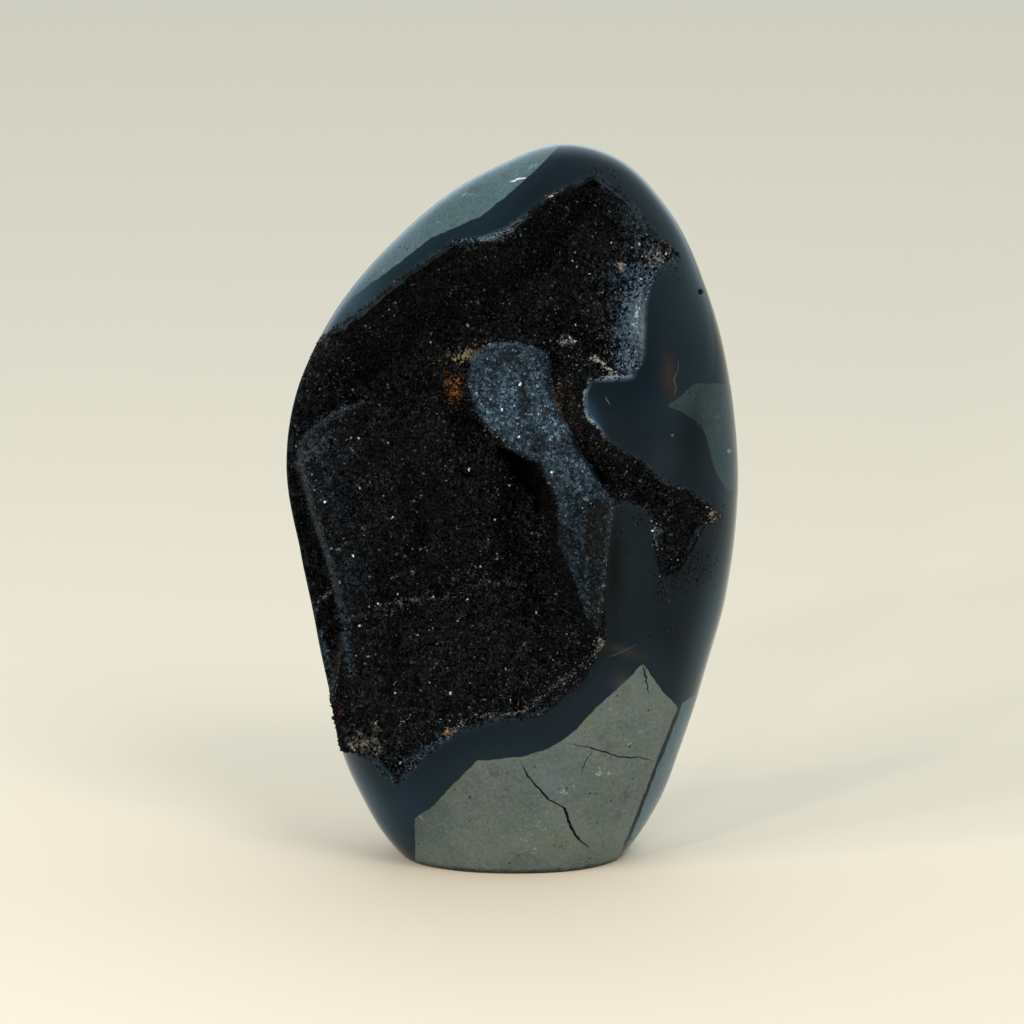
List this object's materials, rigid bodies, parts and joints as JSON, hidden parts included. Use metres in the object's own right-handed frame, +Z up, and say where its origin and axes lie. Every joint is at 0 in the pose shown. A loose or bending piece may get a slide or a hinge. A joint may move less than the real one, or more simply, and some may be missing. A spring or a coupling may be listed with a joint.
{
  "type": "septarian nodule",
  "caption": "Free-standing black septarian nodule, polished outside, with a natural crystal-lined hollow open at its front and left side and a flat ground base.",
  "frame": {"origin": "middle of the bounding box in plan, at the level of the flat base", "axes": "+Z up along the stone's height, -Y the front with the hollow, +X to the right as seen from the front"},
  "size_m": [0.1117, 0.0682, 0.1795],
  "materials": {
    "polished_stone": "polished black calcite with grey-green limestone matrix",
    "black_druse": "sparkling black crystal druse with a frosted blue-grey fin"
  },
  "bodies": {
    "root": {"stone": "polished_stone", "crystal_crust": "black_druse"}
  },
  "joints": []
}
